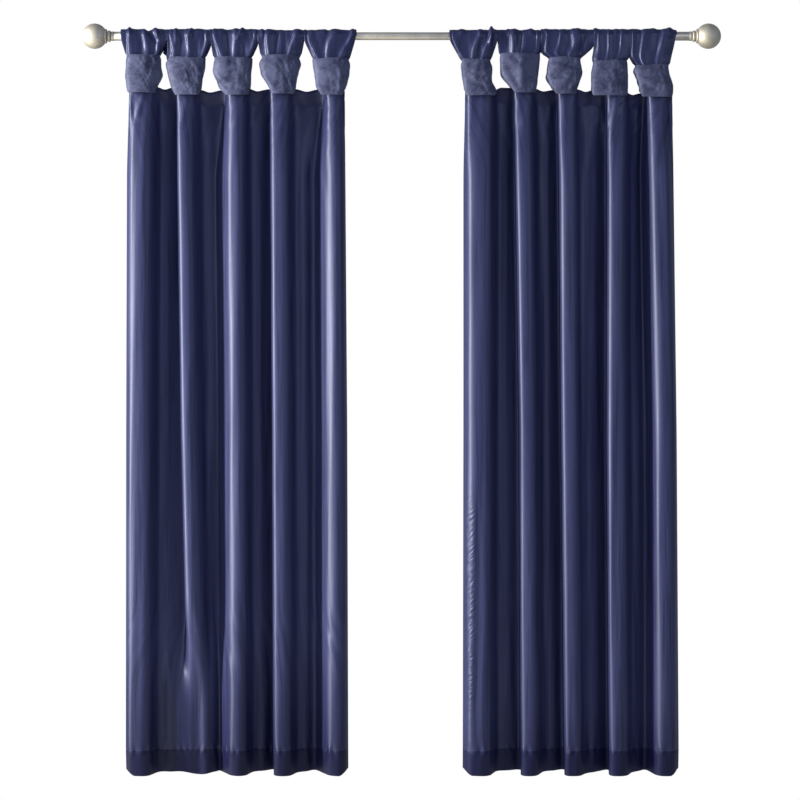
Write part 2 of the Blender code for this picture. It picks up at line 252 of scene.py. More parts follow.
# %% [markdown]
# ## The two panels
#
# A panel is pleated by its loops at the top and opens out below them. Its section halfway down is the
# zigzag of the fold table. Going down, three things change: the section's depth grows from a little over a
# third to the whole within the first 270 mm, the wide flanks, which the gathers hold steep at the heading,
# open out over the same length, and each fold drifts a little sideways, as far as its row says. Just below
# the heading the hollows are deeper again.
#
# The foot isn't quite level: it hangs lower at the crests than in the hollows, and its two corners turn up.
# One fold of the left panel dies away before it gets there, because its points go over to the middle of the
# cloth round them.
#
# The rows of the grid lie close together at the heading, along the lower part where the side hem puckers,
# and at the foot, and wide apart where the folds run straight.

# %% Shape of a panel
FOLD_BEND = 19.0
HEADING_DEPTH_SHARE = 0.376
SWELL_LENGTH = 270.0
GATHER = 0.75
GATHERED_FROM = 8.0
HOLLOW = (19.0, 0.0, 0.0, 13.0, 15.0)
HOLLOW_DEEPENS = 45.0
HOLLOW_HOLDS = 60.0
HOLLOW_FADES = 240.0
FOOT_WAVE = 0.12
CORNER_LIFT = 13.0
CORNER_REACH = 26.0
PANEL_COLUMNS = 311
PANEL_ROWS = np.concatenate(
    (
        np.linspace(0.0, 0.06, 24, endpoint=False),
        np.linspace(0.06, 0.60, 34, endpoint=False),
        np.linspace(0.60, 0.955, 58, endpoint=False),
        np.linspace(0.955, 1.0, 24),
    )
)
SCOOP_CORNER = 7.0
SCOOP_DIP = 2.0
BESIDE_NECK = 2.0
BEYOND_ENDS = 60.0
SOFTENED_OVER = 19
Fading = namedtuple("Fading", "centre reach start share")
LEFT_FADING = Fading(-612, 80, -1600, 0.95)
FADED_OVER = 79
FADED_WITHIN = 330.0


def heading_height(tabs, windows, x):
    """Top edge of a panel at a place along the rod: hidden under the bands, a soft scoop between two of them."""
    places = [(tab.foot_left + tab.foot_right) / 2 for tab in tabs]
    heights = [tab.band_foot + HEADING_ABOVE_BAND_FOOT for tab in tabs]
    for one, two, window in zip(tabs, tabs[1:], windows):
        places += [one.foot_right + BESIDE_NECK, (one.mid_right + two.mid_left) / 2, two.foot_left - BESIDE_NECK]
        corner = window.heading + SCOOP_CORNER
        heights += [corner, window.heading - SCOOP_DIP, corner]
    order = np.argsort(places)
    every = np.arange(min(places) - BEYOND_ENDS, max(places) + BEYOND_ENDS)
    line = np.interp(every, np.array(places)[order], np.array(heights, dtype=float)[order])
    padded = np.pad(line, SOFTENED_OVER // 2, "edge")
    soft = np.convolve(padded, np.full(SOFTENED_OVER, 1 / SOFTENED_OVER), "valid")
    return np.interp(x, every, soft)


def fade_out(points, fading):
    """Let a fold die away towards the foot: its points go over to the mean of 79 columns, some 230 mm of cloth."""
    half = FADED_OVER // 2
    padded = np.pad(points[:, :, :2], ((0, 0), (half, half), (0, 0)), "edge")
    middle = np.lib.stride_tricks.sliding_window_view(padded, FADED_OVER, axis=1).mean(axis=-1)
    from_centre = (points[:, :, 0] - fading.centre) / fading.reach
    lowered = ease((fading.start - points[:, :, 2]) / FADED_WITHIN)
    near = fading.share * np.exp(-(from_centre**4)) * lowered
    points[:, :, :2] += (middle - points[:, :, :2]) * near[:, :, None]


def hung_folds(folds, edge, tabs, windows):
    """Points of a panel [row, column]: x = section x + gather + drift, y = section y × depth + hollow."""
    count = len(HOLLOW)
    table = np.array(folds, dtype=float)
    drift = np.repeat(table[:, 2 * count :], count, axis=0)
    tuck = np.zeros((len(folds), count))
    tuck[:, 0] = GATHER * np.clip(table[:, 2] - table[:, 0] - GATHERED_FROM, 0.0, None)
    hollow = np.tile(HOLLOW, (len(folds), 1))
    hollow[0, 0] = 0.0
    corners = np.column_stack((table[:, : 2 * count].reshape(-1, 2), drift, tuck.ravel(), hollow.ravel()))
    corners = np.vstack((corners, (*edge, 0.0, 0.0)))
    x, y, at_heading, at_foot, gathered, hollowed = rounded(corners, PANEL_COLUMNS, FOLD_BEND).T
    down = PANEL_ROWS[:, None]
    x = x + at_heading * np.clip(1.0 - 2.0 * down, 0.0, 1.0) + at_foot * np.clip(2.0 * down - 1.0, 0.0, 1.0)
    drop = np.mean([window.heading for window in windows]) - PANEL_FOOT
    swell = ease(down * drop / SWELL_LENGTH)
    x = x + gathered * (1.0 - swell)
    depth = HEADING_DEPTH_SHARE + (1.0 - HEADING_DEPTH_SHARE) * swell
    top = heading_height(tabs, windows, x)
    from_side = np.minimum(x - x[:, :1], x[:, -1:] - x)
    foot = PANEL_FOOT + FOOT_WAVE * y + CORNER_LIFT * (1.0 - ease(from_side / CORNER_REACH))
    z = top + (foot - top) * down
    below = top - z
    set_back = hollowed * ease(below / HOLLOW_DEEPENS) * (1.0 - ease((below - HOLLOW_HOLDS) / HOLLOW_FADES))
    return np.stack((x, y * depth + set_back, z), axis=2)


# %% [markdown]
# The hems are what make a panel look sewn. The bottom hem is a second layer turned up behind, so the cloth
# stands a little prouder below its seam, the thread draws a shallow groove with small puckers, and the hem
# tips back towards its foot. The heading is turned over and rolls slightly towards the room. One side hem
# has drawn up, and short slanting puckers cross it.
#
# Two numbers at each point tell the material what the shape can't. The first is painted shade: how much darker the
# cloth's colour is painted where shade falls, at the heading, in the hollows below it, and near the foot, where
# each panel has its own reach and strength. "tight" says where the side hem has drawn up, and a bump adds the
# puckers that are finer than the grid.

# %% Hems and panel creases
HEM_HEIGHT = 68.0
HEM_STEP = 0.9
SIDE_HEM = 28.0
SIDE_STEP = 0.7
STEP_WIDTH = 6.0
GROOVE_DEPTH = 1.2
GROOVE_WIDTH = 3.5
THREAD_REACH = 16.0
ROLL_HEIGHT = 3.0
ROLL_BELOW = 4.0
ROLL_WIDTH = 5.0
HEM_TIPS_BACK = 13.0
SIDE_PUCKERS = (
    (-1292, 1.1), (-1331, 1.4), (-1360, 0.9), (-1397, 1.8), (-1424, 1.2), (-1460, 2.0), (-1489, 1.5),
    (-1530, 2.3), (-1556, 1.7), (-1589, 2.4), (-1621, 1.6), (-1650, 2.5), (-1688, 2.1), (-1717, 1.5),
    (-1752, 2.6), (-1779, 1.9), (-1815, 2.2), (-1842, 1.3), (-1878, 2.0), (-1909, 1.5), (-1944, 1.7),
    (-1975, 1.1), (-2008, 1.4),
)
PANEL_CREASES = {
    "left": (
        Crease(-782, -166, -770, -244, 7, 3.0),
        Crease(-733, -160, -757, -240, 8, 3.5),
        Crease(-760, -160, -764, -260, 8, -1.5),
        Crease(-612, -168, -626, -250, 8, 1.5),
        Crease(-452, -170, -476, -262, 8, 1.5),
        Crease(-672, -400, -676, -1500, 10, 2.0),
        Crease(-408, -300, -406, -1900, 8, 2.0),
        Crease(-286, -260, -284, -1300, 9, 1.5),
    ),
    "right": (
        Crease(568, -160, 590, -300, 8, 3.5),
        Crease(616, -160, 595, -300, 7, 4.5),
        Crease(182, -172, 180, -204, 5, -5.0),
        Crease(332, -168, 346, -262, 8, 1.5),
        Crease(462, -170, 470, -262, 8, 1.5),
        Crease(297, -300, 295, -1700, 9, 1.5),
        Crease(421, -260, 418, -1800, 9, 2.0),
        Crease(522, -300, 521, -1500, 8, 1.5),
        Crease(668, -280, 667, -1900, 9, 2.0),
        *(Crease(172, z + 9, 208, z - 15, 6, height) for z, height in SIDE_PUCKERS),
    ),
}


def within(distance, width):
    """1 inside a hem of that width and 0 beyond it, with a soft step at its edge."""
    return 1.0 - ease((distance - width + STEP_WIDTH / 2) / STEP_WIDTH)


def sew_hems(points):
    """Room-side relief of the hems, in millimetres, from each point's distance to the foot, heading and sides."""
    across = walked(points, 1)
    above_foot = points[:, :, 2] - PANEL_FOOT
    below_heading = points[:1, :, 2] - points[:, :, 2]
    from_seam = above_foot - HEM_HEIGHT
    second_layer = HEM_STEP * within(above_foot, HEM_HEIGHT)
    groove = np.exp(-((from_seam / GROOVE_WIDTH) ** 2))
    pucker = np.exp(-((from_seam / THREAD_REACH) ** 2)) * faint_waves(across, above_foot, 19, 60, 1.3, 5)
    rolled = ROLL_HEIGHT * np.exp(-(((below_heading - ROLL_BELOW) / ROLL_WIDTH) ** 2))
    from_side = np.minimum(across, across[:, -1:] - across)
    side_layer = SIDE_STEP * within(from_side, SIDE_HEM)
    tips_back = HEM_TIPS_BACK * np.clip(1.0 - above_foot / HEM_HEIGHT, 0.0, 1.0)
    return second_layer - GROOVE_DEPTH * groove + pucker + rolled + side_layer - tips_back


# %% Shaded and tight places
FootShade = namedtuple("FootShade", "reach most")
FOOT_SHADE = {"left": FootShade(430.0, 0.92), "right": FootShade(200.0, 0.6)}
DARKEST_FOOT = 20.0
HEADING_SHADE_REACH = 45.0
HOLLOW_SHADE = 0.5
HOLLOW_SHADE_REACH = 260.0
HOLLOW_FROM_Y = -4.0
HOLLOW_OVER_Y = 18.0
TIGHT_WIDTH = 52.0
TIGHT_TOP = -1290.0
TIGHT_FOOT = -1960.0


def painted_shade_of(points, reach, most):
    """How much painted shade darkens the colour at a place, from 0 to 1, for the shade that falls at the heading,
    in the hollows below it and near the foot.

    It is 1 at the heading and up to half of that in the hollows below it. Near the foot it rises to most, over the
    reach.
    """
    above_foot = points[:, :, 2] - PANEL_FOOT
    below_heading = points[:1, :, 2] - points[:, :, 2]
    near_foot = most * (1.0 - ease((above_foot - DARKEST_FOOT) / reach))
    in_hollow = HOLLOW_SHADE * ease((points[:, :, 1] - HOLLOW_FROM_Y) / HOLLOW_OVER_Y)
    in_hollow = in_hollow * (1.0 - ease(below_heading / HOLLOW_SHADE_REACH))
    at_heading = 1.0 - ease(below_heading / HEADING_SHADE_REACH)
    return np.maximum(np.maximum(near_foot, in_hollow), at_heading)


def tightness_of(points):
    """How far the left side hem has drawn up, from 0 to 1, fading in and out at both ends of its tight stretch."""
    from_left, z = walked(points, 1), points[:, :, 2]
    in_strip = 1.0 - ease((from_left - TIGHT_WIDTH) / 18.0)
    return in_strip * ease((TIGHT_TOP - z) / 100.0) * ease((z - TIGHT_FOOT) / 120.0)


# %% Make the panels
PANELS = (
    ("left", LEFT_FOLDS, LEFT_EDGE, LEFT_TABS, LEFT_WINDOWS),
    ("right", RIGHT_FOLDS, RIGHT_EDGE, RIGHT_TABS, RIGHT_WINDOWS),
)
pieces_of_cloth = []


def stand_for(piece, node):
    """Let a piece ride on the part's only body in place of a node, which it hides."""
    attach(piece, "root")
    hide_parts(node)


def add_cloth(piece, thickness, node):
    """Thicken a sheet, seat it on its node and add it to the pieces of cloth."""
    wall = piece.modifiers.new("thickness", "SOLIDIFY")
    wall.thickness = thickness * MILLIMETRE
    wall.offset = 0.0
    stand_for(piece, node)
    pieces_of_cloth.append(piece)


for seed, (side, folds, edge, tabs, windows) in enumerate(PANELS):
    points = hung_folds(folds, edge, tabs, windows)
    if side == "left":
        fade_out(points, LEFT_FADING)
    x, z = points[:, :, 0], points[:, :, 2]
    relief = sew_hems(points) + crease_push(x, z, PANEL_CREASES[side])
    relief += faint_waves(walked(points, 1), z, 46, 900, 1.1, 11 + seed)
    points[:, :, 1] -= relief
    panel = grid_piece(f"hung_panel_{side}", points)
    # The foot hem gets the silk copy whose colour is painted darkest, as painted shade.
    in_hem = (points[:-1, :-1, 2] + points[1:, :-1, 2]) / 2 < PANEL_FOOT + HEM_HEIGHT
    panel.data.polygons.foreach_set("material_index", in_hem.astype(np.int32).ravel())
    tight = tightness_of(points) * (side == "right")
    # The first number paints shade into the colour: at the heading, in the hollows below it and near the foot.
    for name, values in (("layers", painted_shade_of(points, *FOOT_SHADE[side])), ("tight", tight)):
        attribute = panel.data.attributes.new(name, "FLOAT", "POINT")
        attribute.data.foreach_set("value", values.astype(np.float32).ravel())
    add_cloth(panel, 2.0, f"panel_{side}")

# %% [markdown]
# ## The loops over the rod
#
# A loop rises from the panel, turns over the rod and goes down behind. Its path is a line up the front,
# half a circle round the rod and a line down the back. Across the path lie three gathered ridges, high on
# the rod and low in the neck, with troughs between them. On the rod the ridges stand above it, which gives
# the top its waves.

# %% Shape of a loop
THIN_TUBE_RADIUS = 11.1
THICK_TUBE_RADIUS = 12.7
LEFT_STEP = -411.0
RIGHT_STEP = 399.0
LOOP_RADIUS = 13.45
NECK_FRONT = 14.45
NECK_BACK = 10.4
NECK_INSET = 10.0
OUTER_HANG = -8.0
SLIPS_OVER = -1.0
SLIPS_UNDER = 4.0
RIDGE_IN_NECK = 6.0
RIDGE_GROWTH = 5.5
SIDE_IN_NECK = -7.5
LEFT_SIDE_GROWTH = 10.0
RIGHT_SIDE_GROWTH = 7.7
SEAM_GAP = 0.8
ROWS_UP, ROWS_OVER, ROWS_DOWN = 34, 19, 24
LOOP_COLUMNS = 99
LOOP_WEIGHTS = corner_weights(8, LOOP_COLUMNS, 0.4)


def loop_path(tab, rod_radius):
    """Height, depth and outward direction up the front, round the rod and down the back, one row each."""
    centre = rod_radius - THICK_TUBE_RADIUS
    seam = tab.band_foot + HEADING_ABOVE_BAND_FOOT
    up = np.linspace(seam, centre, ROWS_UP)
    turn = np.linspace(0.0, math.pi, ROWS_OVER)[1:-1]
    down = np.linspace(centre, seam, ROWS_DOWN)
    drawn_in = ease((up / tab.band_top - 0.62) / 0.38)
    leaning = np.clip(down / tab.band_top, 0.0, 1.0)
    height = np.concatenate((up, centre + LOOP_RADIUS * np.sin(turn), down))
    front = -LOOP_RADIUS - (NECK_FRONT - LOOP_RADIUS) * drawn_in
    back = LOOP_RADIUS + (NECK_BACK - LOOP_RADIUS) * leaning
    depth = np.concatenate((front, -LOOP_RADIUS * np.cos(turn), back))
    angle = np.concatenate((np.zeros(len(up)), turn, np.full(len(down), math.pi)))
    return height, depth, angle


def loop_sides(tab, hangs, height):
    """Left and right side: straight down from the rod to the top of the window, then in to the neck.

    Over the rod each loop's right side slips under the left side of the next one.
    """
    middle = (tab.band_foot + tab.band_top) / 2
    levels = (tab.band_foot, middle, tab.band_top)
    sides = []
    for corners, inset, on_rod, tucked, hang in (
        ((tab.foot_left, tab.mid_left, tab.top_left), NECK_INSET, tab.rod_left, SLIPS_OVER, hangs[0]),
        ((tab.foot_right, tab.mid_right, tab.top_right), -NECK_INSET, tab.rod_right, SLIPS_UNDER, hangs[1]),
    ):
        share = np.clip((height - tab.band_top) / (hang - tab.band_top), 0.0, 1.0)
        out = 0.8 * share + 0.2 * ease(share)
        inward = inset * (1.0 - 0.6 * ease((height - tab.band_top + 16.0) / 12.0))
        inward = inward * (1.0 - ease((height - tab.band_top) / 6.0))
        side = (np.interp(height, levels, corners) + inward) * (1.0 - out) + on_rod * out
        sides.append(side + tucked * ease((height - hang) / 14.0))
    return sides


def gathers(tab, height):
    """Where a loop's corners lie, as shares of its width, and how far they stand out, as tables [row, corner].

    The corners are the left side, a trough and a ridge three times over, and the right side.
    """
    risen = np.clip((height - tab.band_top) / -tab.band_top, 0.0, 1.0)[:, None]
    climb = ease(risen)
    ridges = np.array(tab.ridges_in_neck) * (1.0 - risen) + np.array(tab.ridges_on_rod) * risen
    nought, one = np.zeros(len(height)), np.ones(len(height))
    before = np.column_stack((nought, ridges[:, :-1]))
    flank = 0.12 + 0.22 * (1.0 - risen)
    troughs = flank * before + (1.0 - flank) * ridges
    pairs = np.stack((troughs, ridges), axis=2).reshape(len(height), 6)
    ridge = RIDGE_IN_NECK + RIDGE_GROWTH * climb[:, 0]
    one_up, two_up, three_up = (ridge * share for share in tab.ridge_heights)
    under = (SIDE_IN_NECK + RIGHT_SIDE_GROWTH * climb)[:, 0]
    over = (SIDE_IN_NECK + LEFT_SIDE_GROWTH * climb)[:, 0]
    lifts = np.stack((over, 0.6 * over, one_up, nought, two_up, nought, three_up, under), axis=1)
    return np.column_stack((nought, pairs, one)), lifts


def loop_surface(tab, hangs, rod_radius, tabs, windows, creases, neighbour, seed):
    """Points of a loop [row, column]: the path, plus its ridges, creases and faint waves along the way out.

    neighbour is the loop on the left and its hangs; the back ply then closes the gap to it, down to the window.
    """
    height, depth, angle = loop_path(tab, rod_radius)
    left, right = loop_sides(tab, hangs, height)
    if neighbour:
        beside = loop_sides(*neighbour, height)[1] + 0.3
        closed = (1.0 - ease((-44.0 - height) / 14.0)) * ease((2.0 - height) / 4.0) * (angle == math.pi)
        left = left + (np.minimum(left, beside) - left) * closed
    shares, lifts = gathers(tab, height)
    x = (left[:, None] + (right - left)[:, None] * shares) @ LOOP_WEIGHTS.T
    on_top = (np.sin(angle) ** 2)[:, None]
    lift = (lifts @ LOOP_WEIGHTS.T) * (1.0 - 0.4 * ease(2.0 * angle / math.pi - 1.0))[:, None]
    lift = lift * (1.0 - 0.72 * on_top) + 5.0 * on_top
    z = np.broadcast_to(height[:, None], x.shape)
    facing_room = 1.0 - ease((angle / math.pi - 0.5) / 0.3)[:, None]
    lift = lift + crease_push(x, z, creases) * facing_room
    above_band = np.clip((z - tab.band_top) / 30.0, 0.0, 1.0)
    lift = lift + faint_waves(x, z, 30, 120, 1.2, seed) * above_band
    clear_of_rod = ease((-14.0 - z) / 12.0) * -9.0 + 0.2
    lift = np.maximum(lift, clear_of_rod)
    lift = np.where(z < tab.band_top - 4.0, np.minimum(lift, 0.5), lift)
    y = depth[:, None] - lift * np.cos(angle)[:, None]
    z = z + lift * np.sin(angle)[:, None]
    seam = height[0]
    middle = (tab.band_foot + tab.band_top) / 2
    sewn = np.clip((middle - height) / (middle - seam), 0.0, 1.0)[:, None]
    z = z + (heading_height(tabs, windows, x) + SEAM_GAP - seam) * sewn
    return np.stack((x, y, z), axis=2)


# %% [markdown]
# The creases of the loops are read off one by one: some run straight down, some meet in a Y where two
# gathers join, and a few are dark troughs that cross the ridges. A sharp crease is narrow and high, a soft
# one wide and low. One loop is lapped: its right side slants in from just below the rod, and the back ply
# of the next loop reaches over to it, so that no gap shows above the window.

# %% Creases of the loops
LOOP_CREASES = {
    "left": (
        (
            Crease(-778, 60, -778, 0, 5, 4.0),
            Crease(-742, 34, -694, -22, 6, -6.5),
            Crease(-716, 34, -692, -8, 5, 4.5),
        ),
        (
            Crease(-646, 26, -641, -26, 4, 3.5),
            Crease(-595, 24, -612, -14, 4, 3.5),
            Crease(-628, -10, -634, -70, 8, -2.0),
            Crease(-583, -4, -585, -70, 8, -2.0),
        ),
        (
            Crease(-447, 26, -470, -14, 4, 5.0),
            Crease(-452, -14, -448, -66, 8, -3.0),
            Crease(-500, 20, -494, -66, 9, -2.0),
        ),
        (Crease(-400, 50, -396, -10, 5, 3.0), Crease(-330, 30, -334, -58, 7, -1.5)),
        (Crease(-250, 20, -228, -60, 8, -1.5), Crease(-215, 40, -222, 0, 7, 2.0)),
    ),
    "right": (
        (Crease(262, 60, 252, -30, 5, 9.0), Crease(236, 24, 214, -76, 5, -2.5),
         Crease(170, 40, 176, -4, 9, 2.0)),
        (Crease(302, 44, 308, -8, 6, 3.5), Crease(372, 44, 370, -8, 6, 3.0)),
        (Crease(536, 30, 508, -56, 7, -3.0), Crease(508, 30, 502, -30, 7, 2.0),
         Crease(408, 44, 414, 0, 6, 3.0)),
        (Crease(560, 46, 552, 4, 6, 4.0), Crease(604, 24, 600, -70, 6, -1.5)),
        (Crease(724, 40, 720, 0, 7, 2.5), Crease(770, 44, 764, -8, 6, 3.0)),
    ),
}

LAPPED = ("left", 0)
LAPPED_HANG = -15.0

# %% Make the loops
for side, folds, edge, tabs, windows in PANELS:
    for number, tab in enumerate(tabs):
        hangs = [
            windows[number - 1].top if number > 0 else OUTER_HANG,
            windows[number].top if number < len(windows) else OUTER_HANG,
        ]
        neighbour = None
        if (side, number) == LAPPED:
            hangs[1] = LAPPED_HANG
        if (side, number - 1) == LAPPED:
            neighbour = (tabs[number - 1], (OUTER_HANG, LAPPED_HANG))
        place = (tab.rod_left + tab.rod_right) / 2
        on_thin_tube = LEFT_STEP < place < RIGHT_STEP
        radius = THIN_TUBE_RADIUS if on_thin_tube else THICK_TUBE_RADIUS
        creases = LOOP_CREASES[side][number]
        points = loop_surface(tab, hangs, radius, tabs, windows, creases, neighbour, 31 + number)
        loop = grid_piece(f"loop_{side}_{number + 1}", points)
        add_cloth(loop, 1.8, f"tab_{side}_{number + 1}")

# %% [markdown]
# ## The bands round the necks
#
# A band is a flat tube of cloth wrapped round the neck. Seen from above it is a rectangle with round
# corners, a superellipse. Its lower edge lifts at the sides to clear the scooped heading, and both edges
# are pulled in a little, because a turned edge grips. It is cut across the grain and has been crushed, so
# it is covered with soft slanting puckers, which catch the light in patches.

# %% Shape of a band
Facet = namedtuple("Facet", "x0 z0 x1 z1 fall")
BAND_CENTRE_Y = -1.5
BAND_HALF_DEPTH = 21.0
ACROSS_POWER = 0.55
DEEP_POWER = 0.35
FRONT_RISE = 22.0
BACK_RISE = 16.0
PLUMPNESS = 2.5
EDGE_PULL = 1.2
BAND_COLUMNS = 121
BAND_ROWS = 41


def even_ring(half_width, half_depth):
    """Cosines and sines, each raised to its own power, at even steps round the ring from its back."""
    turn = math.pi / 2 - np.linspace(0.0, 2.0 * math.pi, 4001)
    across = np.sign(np.cos(turn)) * np.abs(np.cos(turn)) ** ACROSS_POWER
    deep = np.sign(np.sin(turn)) * np.abs(np.sin(turn)) ** DEEP_POWER
    steps = np.hypot(np.diff(across * half_width), np.diff(deep * half_depth))
    reach = np.concatenate(([0.0], np.cumsum(steps)))
    places = np.linspace(0.0, reach[-1], BAND_COLUMNS)
    return np.interp(places, reach, across), np.interp(places, reach, deep)


def side_at(z, corners):
    """Place of a side at a height: straight runs between its corners, averaged over 5 mm up and down."""
    x, heights = np.array(corners[::-1], dtype=float).T
    places = z[..., None] + np.linspace(-5.0, 5.0, 11)
    return np.interp(places, heights, x).mean(axis=-1)


def turned_away(x, z, facets):
    """How far facets stand out: beyond a line the cloth turns and recedes by fall for each millimetre.

    The line runs downwards; a positive fall is for the cloth on its right, a negative one for its left. The
    whole is moved out by six tenths of its deepest fall, so that the band still clears the neck.
    """
    total = np.zeros_like(x)
    for x0, z0, x1, z1, fall in facets:
        away = (z0 - z1) * (x - x0) + (x1 - x0) * (z - z0)
        away = np.sign(fall) * away / math.hypot(x1 - x0, z1 - z0)
        total -= abs(fall) * 5.0 * np.logaddexp(0.0, away / 5.0)
    return total - 0.6 * total.min(axis=1, keepdims=True)


def band_surface(tab, sides, creases, facets, seed):
    """Points of a band [row, column], from its lower edge up, each ring starting and ending at the back."""
    height = tab.band_top - tab.band_foot
    across, deep = even_ring((tab.mid_right - tab.mid_left) / 2, BAND_HALF_DEPTH)
    front_rise = FRONT_RISE * ease((BAND_HALF_DEPTH * (1.0 + deep) - 3.0) / 8.0)
    back_rise = BACK_RISE + 6.0 * ease((BAND_HALF_DEPTH * (1.0 - deep) - 3.0) / 8.0)
    low = tab.band_foot + np.minimum(front_rise, back_rise)
    rows = np.linspace(0.0, 1.0, BAND_ROWS)[:, None]
    z = low + (tab.band_top - low) * rows
    share = (z - tab.band_foot) / height
    left, right = side_at(z, sides[0]), side_at(z, sides[1])
    half_width = (right - left - 3.0) / 2
    from_edge = np.minimum(z - low, tab.band_top - z)
    pulled_in = EDGE_PULL * np.exp(-((from_edge / 5.0) ** 2))
    plump = BAND_HALF_DEPTH + PLUMPNESS * np.sin(math.pi * share) - pulled_in
    points = np.stack(((left + right) / 2 + half_width * across, BAND_CENTRE_Y + plump * deep, z), axis=2)
    way = np.gradient(points, axis=1)
    way[:, 0] = way[:, -1] = way[:, 0] + way[:, -1]
    length = np.hypot(way[:, :, 0], way[:, :, 1])
    round_it = np.linspace(0.0, 2.0 * math.pi, BAND_COLUMNS)
    crushed = faint_waves(points[:, :, 0] + 40.0 * np.cos(round_it), z, 42, 36, 1.5, seed)
    crushed += faint_waves(points[:, :, 0] + 40.0 * np.cos(round_it), z, 15, 17, 0.45, seed + 50)
    held = 1.0 - 0.6 * np.exp(-((from_edge / 7.0) ** 2))
    at_front = ease(-deep * 2.0)
    push = crushed * held + crease_push(points[:, :, 0], z, creases) * at_front
    push = np.maximum(push, -3.5)
    standing_out = np.maximum(turned_away(points[:, :, 0], z, facets), -3.0) * at_front
    points[:, :, 0] -= push * way[:, :, 1] / length
    points[:, :, 1] += push * way[:, :, 0] / length - standing_out
    points[:, :, 2] += 1.5 * np.sin(round_it * 2.0 + seed) * (rows - 0.2)
    points[:, -1] = points[:, 0]
    return points


# %% [markdown]
# The sides of a band aren't smooth curves. Crushed cloth bends at corners, so each side is a short list of
# corners from its top down, as places (x, z) read off the picture.

# %% Sides of the bands
BAND_SIDES = {
    "left": (
        (((-784, -55), (-788, -79), (-788, -127), (-783, -170)),
         ((-692, -55), (-683, -112), (-698, -143), (-699, -170))),
        (((-662, -61), (-675, -80), (-671, -94), (-659, -146), (-648, -172)),
         ((-559, -61), (-564, -104), (-575, -172))),
        (((-531, -61), (-539, -103), (-521, -151), (-503, -172)), ((-426, -61), (-430, -127), (-434, -172))),
        (((-396, -55), (-407, -80), (-400, -113), (-381, -141), (-373, -170)),
         ((-295, -55), (-287, -80), (-299, -118), (-303, -170))),
        (((-255, -64), (-252, -90), (-245, -146), (-231, -172)),
         ((-153, -64), (-145, -84), (-157, -142), (-167, -172))),
    ),
    "right": (
        (((174, -65), (169, -85), (176, -136), (181, -174)),
         ((252, -65), (259, -87), (258, -130), (274, -158), (272, -174))),
        (((283, -51), (280, -66), (284, -113), (310, -146), (323, -168)),
         ((397, -51), (392, -110), (385, -168))),
        (((422, -62), (412, -118), (427, -146), (441, -170)),
         ((512, -62), (517, -110), (503, -150), (500, -170))),
        (((548, -70), (543, -100), (541, -174)), ((644, -70), (648, -110), (646, -140), (650, -174))),
        (((669, -83), (662, -100), (675, -130), (683, -178)),
         ((762, -83), (768, -112), (777, -140), (777, -178))),
    ),
}

# %% Puckers of the bands
BAND_CREASES = {
    "left": (
        (Crease(-786, -140, -720, -152, 6, 2.0), Crease(-700, -66, -716, -120, 8, 2.0),
         Crease(-780, -70, -740, -60, 7, 2.0)),
        (Crease(-662, -92, -600, -70, 8, 2.5), Crease(-655, -120, -580, -150, 9, 2.5)),
        (Crease(-530, -112, -480, -150, 8, 3.0), Crease(-520, -136, -440, -160, 7, -2.5),
         Crease(-528, -90, -490, -76, 8, 2.5)),
        (Crease(-396, -84, -330, -70, 8, 2.5), Crease(-396, -112, -360, -158, 8, 3.0),
         Crease(-345, -80, -350, -150, 9, -2.5)),
        (Crease(-244, -96, -190, -110, 8, 2.5), Crease(-238, -140, -180, -158, 7, -2.5),
         Crease(-170, -80, -178, -150, 8, 3.0)),
    ),
    "right": (
        (Crease(180, -92, 244, -108, 8, 2.5), Crease(186, -128, 250, -150, 8, -2.5),
         Crease(212, -74, 206, -130, 9, 2.5)),
        (Crease(300, -84, 336, -146, 9, -3.0), Crease(340, -60, 344, -158, 10, 3.5),
         Crease(300, -72, 330, -80, 7, 2.5)),
        (Crease(424, -84, 505, -104, 7, 3.0), Crease(424, -112, 496, -130, 7, -3.0),
         Crease(436, -136, 500, -122, 7, 3.0)),
        (Crease(552, -92, 636, -84, 8, 2.5), Crease(560, -130, 600, -158, 9, -2.5),
         Crease(610, -100, 596, -166, 8, 2.5)),
        (Crease(672, -104, 760, -96, 8, 2.5), Crease(676, -132, 730, -158, 8, -2.5),
         Crease(700, -140, 768, -150, 8, 2.5)),
    ),
}

BAND_FACETS = {
    "left": (
        (Facet(-733, -56, -742, -166, 0.34), Facet(-733, -56, -742, -166, -0.10)),
        (Facet(-596, -63, -586, -170, 0.22), Facet(-640, -63, -622, -170, -0.16)),
        (Facet(-470, -63, -462, -170, 0.16), Facet(-506, -63, -486, -170, -0.20)),
        (Facet(-352, -57, -344, -167, 0.22), Facet(-352, -57, -344, -167, -0.10)),
        (Facet(-182, -66, -188, -170, 0.24), Facet(-214, -66, -202, -170, -0.14)),
    ),
    "right": (
        (Facet(236, -67, 246, -172, 0.20), Facet(206, -67, 212, -172, -0.12)),
        (Facet(339, -52, 341, -164, 0.24), Facet(339, -52, 341, -164, -0.12)),
        (Facet(482, -63, 476, -167, 0.20), Facet(446, -63, 462, -167, -0.16)),
        (Facet(612, -72, 604, -172, 0.18), Facet(580, -72, 590, -172, -0.08)),
        (Facet(742, -85, 748, -176, 0.20), Facet(700, -85, 712, -176, -0.06)),
    ),
}

# %% Make the bands
for side, folds, edge, tabs, windows in PANELS:
    for number, tab in enumerate(tabs):
        creases, facets = BAND_CREASES[side][number], BAND_FACETS[side][number]
        points = band_surface(tab, BAND_SIDES[side][number], creases, facets, 71 + number + 7 * len(side))
        band = grid_piece(f"wrap_{side}_{number + 1}", points, closed=True)
        node = f"band_{side}_{number + 1}"
        add_cloth(band, 2.6, node)

# %% [markdown]
# ## The rod and its balls
#
# The tubes and the balls are turned parts, so a profile carried round the rod's axis makes each of them.
# The rod is one thin tube that slides inside a thicker one at each end. A finial is a ball on three beads,
# each with a groove beside it. A profile keeps the grooves crisp, which a sphere with rings stuck on it
# wouldn't.

